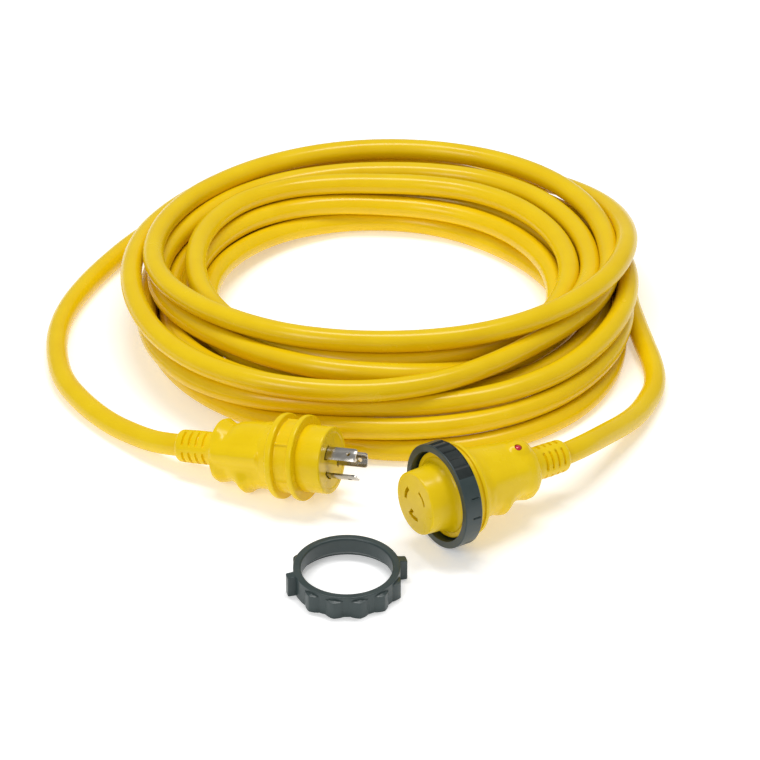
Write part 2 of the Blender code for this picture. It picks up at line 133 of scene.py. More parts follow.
# ---------------------------------------------------------------- camera, floor and light
def build_stage():
    """The camera, the pale floor, the even room light and two soft boxes."""
    camera = bpy.data.objects.new("camera", bpy.data.cameras.new("camera"))
    camera.data.sensor_width = 36.0
    camera.data.lens = 165.8
    camera.data.clip_end = 50.0
    camera.location = (0.0055, -2.1505, 1.5496)
    camera.rotation_euler = (math.radians(56.8), 0.0, 0.0)
    bpy.context.scene.collection.objects.link(camera)
    bpy.context.scene.camera = camera

    mesh = bpy.data.meshes.new("floor")
    half = 6.0
    mesh.from_pydata([(-half, -half, 0), (half, -half, 0), (half, half, 0), (-half, half, 0)], [],
                     [(0, 1, 2, 3)])
    floor = bpy.data.objects.new("floor", mesh)
    paper = bpy.data.materials.new("pale_floor")
    paper.use_nodes = True
    shader = paper.node_tree.nodes["Principled BSDF"]
    shader.inputs["Base Color"].default_value = (0.97, 0.97, 0.97, 1.0)
    shader.inputs["Roughness"].default_value = 0.9
    shader.inputs["Specular IOR Level"].default_value = 0.1
    shader.inputs["Emission Color"].default_value = (1.0, 1.0, 1.0, 1.0)
    shader.inputs["Emission Strength"].default_value = 0.30
    mesh.materials.append(paper)
    bpy.context.scene.collection.objects.link(floor)

    world = bpy.data.worlds.new("soft_room")
    world.use_nodes = True
    world.node_tree.nodes["Background"].inputs["Color"].default_value = (1.0, 1.0, 1.0, 1.0)
    world.node_tree.nodes["Background"].inputs["Strength"].default_value = 0.40
    bpy.context.scene.world = world
    bpy.context.scene.view_settings.view_transform = "Standard"

    lights = (  # name, place, where it points, size across and deep, watts
        ("overhead_softbox", (0.05, 0.45, 1.9), (0.0, 0.25, 0.0), 1.3, 0.40, 20.0),
        ("front_softbox", (-1.3, -1.6, 1.7), (0.0, 0.15, 0.0), 0.9, 0.9, 14.5),
    )
    for name, place, aim, wide, deep, power in lights:
        lamp = bpy.data.lights.new(name, "AREA")
        lamp.shape = "RECTANGLE"
        lamp.size = wide
        lamp.size_y = deep
        lamp.energy = power
        obj = bpy.data.objects.new(name, lamp)
        obj.location = place
        obj.rotation_euler = (Vector(aim) - Vector(place)).to_track_quat("-Z", "Y").to_euler()
        bpy.context.scene.collection.objects.link(obj)


# ---------------------------------------------------------------- materials
def node(tree, kind, **settings):
    """A shader node with its inputs and settings given by name."""
    made = tree.nodes.new(kind)
    for key, value in settings.items():
        if key in made.inputs:
            made.inputs[key].default_value = value
        else:
            setattr(made, key, value)
    return made


def finish(name, dark, light, rough, grain, bump, metallic=0.0, patch=45.0, stretch=(1, 1, 1), gloss=0.5,
           coat=0.0):
    """A moulded or metal surface: soft patches of two tones, fine grain in the bump, and roughness that
    varies with the patches. dark and light are colours, rough is (low, high), grain is cells per metre."""
    made = bpy.data.materials.new(name)
    made.use_nodes = True
    tree = made.node_tree
    shader = tree.nodes["Principled BSDF"]
    shader.inputs["Metallic"].default_value = metallic
    if coat:
        shader.inputs["Coat Weight"].default_value = coat
        shader.inputs["Coat Roughness"].default_value = 0.12
    shader.inputs["Specular IOR Level"].default_value = gloss
    place = node(tree, "ShaderNodeTexCoord")
    scale = node(tree, "ShaderNodeMapping")
    scale.inputs["Scale"].default_value = stretch
    patches = node(tree, "ShaderNodeTexNoise", Scale=patch, Detail=4.0, Roughness=0.55)
    specks = node(tree, "ShaderNodeTexNoise", Scale=grain, Detail=3.0, Roughness=0.6)
    tone = node(tree, "ShaderNodeValToRGB")
    tone.color_ramp.elements[0].position = 0.32
    tone.color_ramp.elements[0].color = (*dark, 1.0)
    tone.color_ramp.elements[1].position = 0.68
    tone.color_ramp.elements[1].color = (*light, 1.0)
    spread = node(tree, "ShaderNodeMapRange")
    spread.inputs["From Min"].default_value = 0.3
    spread.inputs["From Max"].default_value = 0.7
    spread.inputs["To Min"].default_value = rough[0]
    spread.inputs["To Max"].default_value = rough[1]
    relief = node(tree, "ShaderNodeBump", Strength=bump[0], Distance=bump[1])
    link = tree.links.new
    link(place.outputs["Object"], scale.inputs["Vector"])
    link(scale.outputs["Vector"], patches.inputs["Vector"])
    link(scale.outputs["Vector"], specks.inputs["Vector"])
    link(patches.outputs["Fac"], tone.inputs["Fac"])
    link(tone.outputs["Color"], shader.inputs["Base Color"])
    link(patches.outputs["Fac"], spread.inputs["Value"])
    link(spread.outputs["Result"], shader.inputs["Roughness"])
    link(specks.outputs["Fac"], relief.inputs["Height"])
    link(relief.outputs["Normal"], shader.inputs["Normal"])
    return made


def build_finishes():
    """Every finish by its short name."""
    return {
        "jacket": finish("jacket_finish", (0.830, 0.555, 0.002), (0.870, 0.605, 0.004), (0.19, 0.28),
                         2600.0, (0.08, 0.0002), patch=30.0, gloss=0.31),
        "housing": finish("housing_finish", (0.850, 0.580, 0.001), (0.895, 0.630, 0.002), (0.20, 0.30),
                          1800.0, (0.06, 0.0002), patch=40.0, gloss=0.27),
        "insert": finish("insert_finish", (0.800, 0.545, 0.006), (0.850, 0.600, 0.010), (0.42, 0.55),
                         1500.0, (0.10, 0.0002), patch=50.0),
        "ring": finish("ring_finish", (0.026, 0.044, 0.044), (0.036, 0.056, 0.056), (0.28, 0.40),
                       2200.0, (0.12, 0.0002), patch=70.0),
        "grip": finish("grip_finish", (0.012, 0.018, 0.017), (0.018, 0.026, 0.024), (0.16, 0.24),
                       2200.0, (0.08, 0.0002), patch=70.0),
        "blade": finish("blade_finish", (0.40, 0.38, 0.34), (0.56, 0.54, 0.50), (0.14, 0.26),
                        900.0, (0.06, 0.0001), metallic=1.0, patch=160.0, stretch=(0.3, 1, 1)),
        "brass": finish("contact_finish", (0.70, 0.52, 0.22), (0.82, 0.64, 0.32), (0.25, 0.40),
                        900.0, (0.06, 0.0001), metallic=1.0, patch=160.0),
        "black_wire": finish("black_wire_finish", (0.015, 0.015, 0.016), (0.03, 0.03, 0.03), (0.4, 0.55),
                             1500.0, (0.08, 0.0001)),
        "white_wire": finish("white_wire_finish", (0.78, 0.78, 0.76), (0.86, 0.86, 0.84), (0.4, 0.55),
                             1500.0, (0.08, 0.0001)),
        "green_wire": finish("green_wire_finish", (0.015, 0.20, 0.05), (0.03, 0.27, 0.08), (0.4, 0.55),
                             1500.0, (0.08, 0.0001)),
        "lens": finish("lens_finish", (0.52, 0.004, 0.030), (0.64, 0.010, 0.045), (0.08, 0.14),
                       600.0, (0.04, 0.0001), patch=300.0, coat=0.6),
        "led": finish("led_finish", (0.70, 0.18, 0.16), (0.80, 0.24, 0.20), (0.12, 0.2),
                      600.0, (0.04, 0.0001), patch=300.0),
        "resistor": finish("resistor_finish", (0.52, 0.38, 0.22), (0.62, 0.48, 0.30), (0.5, 0.6),
                           2000.0, (0.08, 0.0001), patch=400.0),
        "lead": finish("lead_finish", (0.60, 0.60, 0.58), (0.72, 0.72, 0.70), (0.3, 0.4),
                       1200.0, (0.05, 0.0001), metallic=1.0, patch=300.0),
    }


# ---------------------------------------------------------------- the cord's route
def route_table():
    """Places round the coil at every TABLE_STEP, and the directions and the firmness of the table's rows."""
    rows = [row for turn in TURNS for row in turn]
    per_turn = len(DIRECTIONS)
    angle = np.array([DIRECTIONS[i % per_turn] - 360.0 * (i // per_turn) for i in range(len(rows))])
    values = np.array(rows)
    slope = np.gradient(values, -angle, axis=0)
    wanted = np.arange(angle[0], angle[-1] - 1.0, -TABLE_STEP)
    i = np.clip(np.searchsorted(-angle, -wanted) - 1, 0, len(rows) - 2)
    h = (angle[i] - angle[i + 1])[:, None]
    t = (angle[i] - wanted)[:, None] / h
    smooth = ((2 * t ** 3 - 3 * t ** 2 + 1) * values[i] + (t ** 3 - 2 * t ** 2 + t) * h * slope[i]
              + (-2 * t ** 3 + 3 * t ** 2) * values[i + 1] + (t ** 3 - t ** 2) * h * slope[i + 1])
    a = np.radians(wanted)
    places = np.stack([COIL_CENTRE[0] + smooth[:, 0] * np.cos(a),
                       COIL_CENTRE[1] + smooth[:, 0] * np.sin(a),
                       np.maximum(smooth[:, 1], PLANNED_LYING)], 1)
    return places, angle, values[:, 2]


def even_curve(points, marks):
    """The smooth curve through the points (centripetal Catmull-Rom) at an even spacing, and where the
    marked points come on it."""
    p = np.vstack([2 * points[0] - points[1], points, 2 * points[-1] - points[-2]])
    made, found = [], []
    for i in range(1, len(p) - 2):
        if i - 1 in marks:
            found.append(len(made))
        t0 = 0.0
        t1, t2, t3 = np.cumsum([np.linalg.norm(p[k + 1] - p[k]) ** 0.5 for k in (i - 1, i, i + 1)])
        for t in np.linspace(t1, t2, 40, endpoint=False):
            a1 = (t1 - t) / (t1 - t0) * p[i - 1] + (t - t0) / (t1 - t0) * p[i]
            a2 = (t2 - t) / (t2 - t1) * p[i] + (t - t1) / (t2 - t1) * p[i + 1]
            a3 = (t3 - t) / (t3 - t2) * p[i + 1] + (t - t2) / (t3 - t2) * p[i + 2]
            b1 = (t2 - t) / (t2 - t0) * a1 + (t - t0) / (t2 - t0) * a2
            b2 = (t3 - t) / (t3 - t1) * a2 + (t - t1) / (t3 - t1) * a3
            made.append((t2 - t) / (t2 - t1) * b1 + (t - t1) / (t2 - t1) * b2)
    made = np.array([*made, p[-2]])
    run = np.concatenate([[0], np.cumsum(np.linalg.norm(np.diff(made, axis=0), axis=1))])
    count = int(round(run[-1] / SPACING))
    even = np.linspace(0, run[-1], count + 1)
    places = np.stack([np.interp(even, run, made[:, k]) for k in range(3)], 1)
    return places, [int(round(run[m] / run[-1] * count)) for m in found]


def settle(planned, marks, angle, firmness):
    """Moves the turns of the plan apart until none cuts another, keeping the plan's own bends."""
    p = planned.copy()
    count = len(p)
    index = np.arange(count)
    free = np.clip(np.minimum(index - marks[0], marks[1] - index) / END_POINTS, 0.0, 1.0)[:, None]
    round_coil = np.degrees(np.unwrap(np.arctan2(planned[:, 1] - COIL_CENTRE[1],
                                                 planned[:, 0] - COIL_CENTRE[0])))
    round_coil -= 360.0 * round((round_coil[marks[0]] - COIL_ENTRY) / 360.0)
    firm = np.interp(-round_coil, -angle, firmness)
    first, second = np.triu_indices(count, int(APART_ALONG * 2 * CABLE_RADIUS / SPACING))
    for step in range(SETTLE_STEPS):
        if step % NEAR_EVERY == 0:
            apart = p[first] - p[second]
            near = (apart * apart).sum(1) < (NEAR * TOUCHING) ** 2
            i_near, j_near = first[near], second[near]
        ease = min(1.0, 2.0 * (1.0 - step / SETTLE_STEPS))
        p += free * PULL * ease * firm[:, None] * (planned - p)
        bent = p.copy()
        for k, amount in BENDS:
            bend = (p[2 * k:] + p[:-2 * k]) / 2 - p[k:-k]
            own = (planned[2 * k:] + planned[:-2 * k]) / 2 - planned[k:-k]
            bent[k:-k] += amount * (bend - own)
        p += free * (bent - p)
        for _ in range(2):
            apart = p[i_near] - p[j_near]
            length = np.sqrt((apart * apart).sum(1)) + 1e-12
            hit = length < TOUCHING
            i, j = i_near[hit], j_near[hit]
            push = ((TOUCHING - length[hit]) / length[hit] * 0.5)[:, None] * apart[hit]
            give_i, give_j = 1.2 - firm[i], 1.2 - firm[j]
            share = 2.0 / (give_i + give_j)
            moved, hits = np.zeros_like(p), np.zeros(count)
            np.add.at(moved, i, push * (give_i * share)[:, None])
            np.add.at(moved, j, -push * (give_j * share)[:, None])
            np.add.at(hits, i, 1)
            np.add.at(hits, j, 1)
            p += free * 0.9 * moved / (np.maximum(hits, 1)[:, None] ** 0.6)
            p[:, 2] = np.where((free[:, 0] > 0) & (p[:, 2] < LYING), LYING, p[:, 2])
    return p


def build_cord(finishes):
    """The whole cable as one curve, from inside the plug's sleeve to inside the connector's."""
    start = [station(PLUG_FACE, PLUG_AZIMUTH, PLUG_TILT, s) for s in PLUG_STRAIGHT]
    end = [station(CONNECTOR_FACE, CONNECTOR_AZIMUTH, CONNECTOR_TILT, s) for s in CONNECTOR_STRAIGHT]
    turns, angle, firmness = route_table()
    head = np.array([*start, *PLUG_TAIL])
    points = np.vstack([head, turns, np.array([*reversed(CONNECTOR_TAIL), *end])])
    planned, marks = even_curve(points, (len(head) - 1, len(head) + len(turns)))
    places = settle(planned, marks, angle, firmness)

    curve = bpy.data.curves.new("power_cord", "CURVE")
    curve.dimensions = "3D"
    curve.bevel_depth = CABLE_RADIUS
    curve.bevel_resolution = 10
    curve.use_fill_caps = True
    spline = curve.splines.new("POLY")
    spline.points.add(len(places) - 1)
    spline.points.foreach_set("co", np.hstack([places, np.ones((len(places), 1))]).ravel())
    spline.use_smooth = True
    curve.materials.append(finishes["jacket"])
    obj = bpy.data.objects.new("power_cord", curve)
    bpy.context.scene.collection.objects.link(obj)
    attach(obj, "cord")
    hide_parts("cable_coil", "cable_plug_tail", "cable_connector_tail")
    return obj


# ---------------------------------------------------------------- mesh helpers
def axis_frame(face, azimuth, tilt):
    """Local +X out of the face, +Y level, +Z up."""
    heading = Matrix.Rotation(math.radians(azimuth), 4, "Z")
    nose_up = Matrix.Rotation(-math.radians(tilt), 4, "Y")
    return Matrix.Translation(face) @ heading @ nose_up


def rounded(profile, radius, steps=4, longest=None):
    """A profile of (station, radius) with each inner corner rounded, and its long runs cut up.
    A point may bring its own corner radius as a third number."""
    points = [np.array(p[:2], float) for p in profile]
    corner = [p[2] if len(p) > 2 else radius for p in profile]
    made = [points[0]]
    for before, here, after, r in zip(points, points[1:], points[2:], corner[1:-1]):
        into, out = before - here, after - here
        reach = min(r, 0.48 * np.linalg.norm(into), 0.48 * np.linalg.norm(out))
        a, b = here + into / np.linalg.norm(into) * reach, here + out / np.linalg.norm(out) * reach
        for i in range(steps + 1):
            t = i / steps
            made.append((1 - t) ** 2 * a + 2 * t * (1 - t) * here + t ** 2 * b)
    made.append(points[-1])
    if not longest:
        return made
    cut = [made[0]]
    for a, b in zip(made, made[1:]):
        count = max(1, math.ceil(np.linalg.norm(b - a) / longest))
        cut += [a + (b - a) * (i / count) for i in range(1, count + 1)]
    return cut


def put(name, bm, matrix, material, sharp=40.0):
    """Makes an object of the mesh, placed by the matrix, smooth but for edges sharper than given."""
    bmesh.ops.remove_doubles(bm, verts=bm.verts, dist=1e-6)
    bmesh.ops.recalc_face_normals(bm, faces=bm.faces)
    mesh = bpy.data.meshes.new(name)
    bm.to_mesh(mesh)
    bm.free()
    mesh.transform(matrix)
    mesh.materials.append(material)
    mesh.shade_smooth()
    mesh.set_sharp_from_angle(angle=math.radians(sharp))
    obj = bpy.data.objects.new(name, mesh)
    bpy.context.scene.collection.objects.link(obj)
    return obj


def lathe(name, profile, matrix, material, segments=128, shape=None, closed=False, sharp=40.0):
    """Turns (station, radius) points round local X. shape(station, angle, radius) gives the real radius."""
    bm = bmesh.new()
    loops = []
    for s, r in profile:
        if r < 1e-7:
            loops.append([bm.verts.new((-s, 0.0, 0.0))])
            continue
        ring = []
        for i in range(segments):
            angle = 2 * math.pi * i / segments
            real = shape(s, angle, r) if shape else r
            ring.append(bm.verts.new((-s, real * math.cos(angle), real * math.sin(angle))))
        loops.append(ring)
    pairs = list(zip(loops, loops[1:]))
    if closed:
        pairs.append((loops[-1], loops[0]))
    for first, second in pairs:
        if len(first) == 1 and len(second) == 1:
            continue
        for i in range(segments):
            j = (i + 1) % segments
            corners = []
            for vert in (first[i % len(first)], first[j % len(first)],
                         second[j % len(second)], second[i % len(second)]):
                if vert not in corners:
                    corners.append(vert)
            bm.faces.new(corners)
    return put(name, bm, matrix, material, sharp)


def hill(x, middle, half, edge):
    """1 within half of the middle, falling smoothly to 0 over edge."""
    t = min(1.0, max(0.0, (half + edge - abs(x - middle)) / edge))
    return t * t * (3 - 2 * t)


def turn_from(angle, degrees):
    """Signed difference of an angle from a direction, in degrees."""
    return (math.degrees(angle) - degrees + 180.0) % 360.0 - 180.0


def mix(a, b, t):
    return a + (b - a) * t


def table(points):
    """The radius at a station, straight from point to point."""
    stations, values = zip(*points)
    return lambda s: float(np.interp(s, stations, values))


def arc_outline(centre_deg, width, thickness, hook=0.0, grow=0.0, steps=12):
    """Outline of a curved blade on the pitch circle. A hook is a leg towards the axis at one end."""
    if hook < 0.0:
        mirrored = arc_outline(-centre_deg, width, thickness, -hook, grow, steps)
        return [(y, -z) for y, z in reversed(mirrored)]
    outer = PITCH_RADIUS + thickness / 2 + grow
    inner = PITCH_RADIUS - thickness / 2 - grow
    half = (width / 2 + grow) / PITCH_RADIUS
    middle = math.radians(centre_deg)
    sweep = [middle - half + 2 * half * i / steps for i in range(steps + 1)]

    def polar(radius, angle):
        return (radius * math.cos(angle), radius * math.sin(angle))

    points = [polar(outer, a) for a in sweep]
    if hook:
        foot = inner - hook
        leg = (thickness + 2 * grow) / inner
        points += [polar(foot, sweep[-1]), polar(foot, sweep[-1] - leg * inner / foot)]
        points.append(polar(inner, sweep[-1] - leg))
        points += [polar(inner, a) for a in reversed(sweep) if a < sweep[-1] - leg - 0.02]
    else:
        points += [polar(inner, a) for a in reversed(sweep)]
    return points


def extrude(name, outline, stations, matrix, material, shrink=None):
    """A flat outline of (y, z) extruded along local X through the stations. shrink gives, per station,
    how much of its width about its own middle is left."""
    bm = bmesh.new()
    centre = np.mean(np.array(outline), axis=0)
    loops = []
    for k, s in enumerate(stations):
        keep = shrink[k] if shrink else 1.0
        loops.append([bm.verts.new((-s, *(centre + (np.array(p) - centre) * keep))) for p in outline])
    for first, second in zip(loops, loops[1:]):
        for i in range(len(outline)):
            j = (i + 1) % len(outline)
            bm.faces.new((first[i], first[j], second[j], second[i]))
    bm.faces.new(loops[0])
    bm.faces.new(list(reversed(loops[-1])))
    return put(name, bm, matrix, material, 30.0)


def carve(target, cutters):
    """Cuts the cutters out of the target, and removes them."""
    for cutter in cutters:
        step = target.modifiers.new(cutter.name, "BOOLEAN")
        step.operation = "DIFFERENCE"
        step.object = cutter
        step.solver = "EXACT"
    bpy.context.view_layer.update()
    graph = bpy.context.evaluated_depsgraph_get()
    mesh = bpy.data.meshes.new_from_object(target.evaluated_get(graph))
    target.modifiers.clear()
    target.data = mesh
    mesh.name = target.name
    mesh.shade_smooth()
    mesh.set_sharp_from_angle(angle=math.radians(30))
    for cutter in cutters:
        bpy.data.objects.remove(cutter, do_unlink=True)


def seat_piece(obj, body, slot_name, *nodes):
    """Ties a piece to its body and hides the CAD nodes that it stands for. slot_name is not used."""
    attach(obj, body)
    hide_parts(*nodes)
    return obj


# ---------------------------------------------------------------- the moulded sleeves
def build_sleeve(name, node_name, matrix, body_end, length, spine, material):
    """A tapered strain relief with rows of flex slots between solid spines."""
    first, pitch, width, depth = 0.255 * length, 0.177 * length, 0.0011, 0.0018
    profile = rounded([(body_end - 0.0050, 0.00905), (body_end - 0.0050, 0.0128),
                       (body_end + 0.5 * length, 0.0128), (body_end + length - 0.002, 0.0126),
                       (body_end + length, 0.0112), (body_end + length + 0.0004, 0.0098),
                       (body_end + length, 0.00905)], 0.0012, longest=0.0004)

    def shape(s, angle, r):
        if r < 0.0105:
            return r
        along = s - body_end
        flare = 0.0010 * hill(along, 0.0, 0.0015, 0.005)
        cut = sum(hill(along, first + i * pitch, width / 2, 0.0005) for i in range(4))
        away = abs((math.degrees(angle) - spine + 45.0) % 90.0 - 45.0)
        row = min(1.0, max(0.0, (away - 11.0) / 4.0))
        waist = 0.0004 * math.sin(math.pi * min(1.0, max(0.0, along / length)))
        return r + flare + waist * 0.5 - depth * cut * row

    obj = lathe(name, profile, matrix, material, 120, shape, closed=True)
    return seat_piece(obj, "cord", "housing_yellow", node_name)


# ---------------------------------------------------------------- plug
RIB_AT = 129.0               # direction of one of the six ribs in the groove
RIB_PITCH = 60.0
GROOVE_RADIUS = 0.0283       # of the groove between the two flanges
CREST_AT = 155.0             # direction of the side panels' ridge
BELOW_AT = 228.0             # direction of the finger grooves, down and towards the front
HOLE_AT, HOLE_RADIUS = 0.0180, 0.0017    # the hole near each blade's tip


def build_plug(finishes):
    """The plug: gripped housing with two flanges, sleeve, nose and three blades."""
    matrix = axis_frame(PLUG_FACE, PLUG_AZIMUTH, PLUG_TILT)
    body_end = 0.0955
    grooved = table([(0.044, 0.0282), (0.050, 0.0270), (0.0570, 0.0268), (0.0620, 0.0282),
                     (0.0660, 0.0308), (0.0680, 0.0314), (0.0700, 0.0304), (0.0740, 0.0266),
                     (0.0780, 0.0242), (0.0820, 0.0234), (0.0860, 0.0244), (0.0905, 0.0254),
                     (0.0935, 0.0242)])
    plain = table([(0.044, 0.0280), (0.050, 0.0258), (0.0570, 0.0246), (0.0680, 0.0242),
                   (0.0740, 0.0236), (0.0780, 0.0226), (0.0825, 0.0206), (0.0865, 0.0226),
                   (0.0900, 0.0246), (0.0925, 0.0240), (0.0935, 0.0232)])
    panel = table([(0.044, 0.0280), (0.050, 0.0262), (0.0570, 0.0254), (0.0680, 0.0250),
                   (0.0780, 0.0246), (0.0880, 0.0244), (0.0935, 0.0236)])
    profile = rounded([
        (0.0200, 0.0222), (0.0200, 0.0326, 0.0020), (0.0208, 0.0332, 0.0008), (0.0234, 0.0332, 0.0008),
        (0.0246, 0.0326, 0.0018), (0.0249, GROOVE_RADIUS, 0.0006), (0.0368, GROOVE_RADIUS, 0.0006),
        (0.0373, 0.0326, 0.0016), (0.0380, 0.0332, 0.0008), (0.0416, 0.0332, 0.0010),
        (0.0430, 0.0318, 0.0016), (0.0440, 0.0280, 0.0016), (0.050, 0.0264, 0.003),
        (0.0570, 0.0258, 0.002), (0.0680, 0.0258, 0.002), (0.0780, 0.0242, 0.002),
        (0.0880, 0.0243, 0.002), (0.0930, 0.0237, 0.0014), (0.0938, 0.0205, 0.0014),
        (body_end, 0.0150, 0.0006), (body_end, 0.0128), (0.0740, 0.0150), (0.0445, 0.0180),
        (0.0445, 0.0222)], 0.0004, longest=0.0010)

    def shape(s, angle, r):
        if r < 0.0205 or s < 0.0200 + 1e-6 and r < 0.0224:
            return r
        if GROOVE_RADIUS - 1e-5 <= r < 0.0300 and 0.0249 < s < 0.0369:
            away = abs((math.degrees(angle) - RIB_AT + RIB_PITCH / 2) % RIB_PITCH - RIB_PITCH / 2)
            return r + 0.0016 * hill(away, 0.0, 0.7, 0.8)
        if s <= 0.0440:
            return r
        away = turn_from(angle, CREST_AT)
        side = min(abs(away), 180.0 - abs(away))
        below = hill(turn_from(angle, BELOW_AT), 0.0, 18.0, 30.0)
        if s < 0.0935:
            r = mix(plain(s), grooved(s), below)
            r = mix(r, panel(s), hill(side, 0.0, 20.0, 26.0))
        reach = hill(s, 0.0720, 0.0190, 0.0030)
        crest = 0.0019 * max(0.0, 1.0 - side / 20.0)
        hollow = -0.0010 * hill(side, 24.0, 2.0, 18.0)
        return r + (crest + hollow) * reach

    body = lathe("plug_housing", profile, matrix, finishes["housing"], 144, shape, closed=True)
    seat_piece(body, "cord", "housing_yellow", "plug_body")
    build_sleeve("plug_sleeve", "plug_strain_relief", matrix, body_end, 0.0335, 158.0, finishes["housing"])

    nose = lathe("plug_nose", rounded([
        (0.0004, 0.0), (0.0004, 0.0215, 0.0006), (0.0, 0.0220, 0.0004), (0.0, 0.0252, 0.0006),
        (0.0008, 0.0259, 0.0006), (0.0203, 0.0259, 0.0003), (0.0203, 0.0219), (0.0260, 0.0219),
        (0.0260, 0.0)], 0.0003), matrix, finishes["housing"], 128)
    pockets = []
    for name, (degrees, width, hook) in PLUG_BLADES.items():
        outline = arc_outline(degrees, width, BLADE_THICKNESS, hook)
        stations = [-0.0240, -0.0236, -0.0222, -0.0150, -0.0080, 0.0, 0.0285]
        blade = extrude(f"plug_{name}_prong", outline, stations, matrix, finishes["blade"],
                        [0.80, 0.90, 1.0, 1.0, 1.0, 1.0, 1.0])
        middle = math.radians(degrees)
        hole = bmesh.new()
        bmesh.ops.create_cone(hole, cap_ends=True, segments=24, radius1=HOLE_RADIUS, radius2=HOLE_RADIUS,
                              depth=0.008)
        spoke = Vector((0, math.cos(middle), math.sin(middle)))
        turn = Matrix.Translation((HOLE_AT, PITCH_RADIUS * math.cos(middle), PITCH_RADIUS * math.sin(middle)))
        turn = turn @ spoke.to_track_quat("Z", "X").to_matrix().to_4x4()
        carve(blade, [put(f"cut_{name}_hole", hole, matrix @ turn, finishes["blade"])])
        seat_piece(blade, "cord", "blade_nickel", f"plug_{name}_blade")
        pockets.append(extrude(f"cut_{name}_pocket",
                               arc_outline(degrees, width, BLADE_THICKNESS, hook, 0.0008),
                               [-0.002, 0.0030], matrix, finishes["insert"]))
    carve(nose, pockets)
    seat_piece(nose, "cord", "insert_yellow", "plug_blade_carrier")


# ---------------------------------------------------------------- connector
SLOT_GROWTH = {"line": 0.0007, "neutral": 0.0002, "ground": 0.0007}    # slot's play round each blade


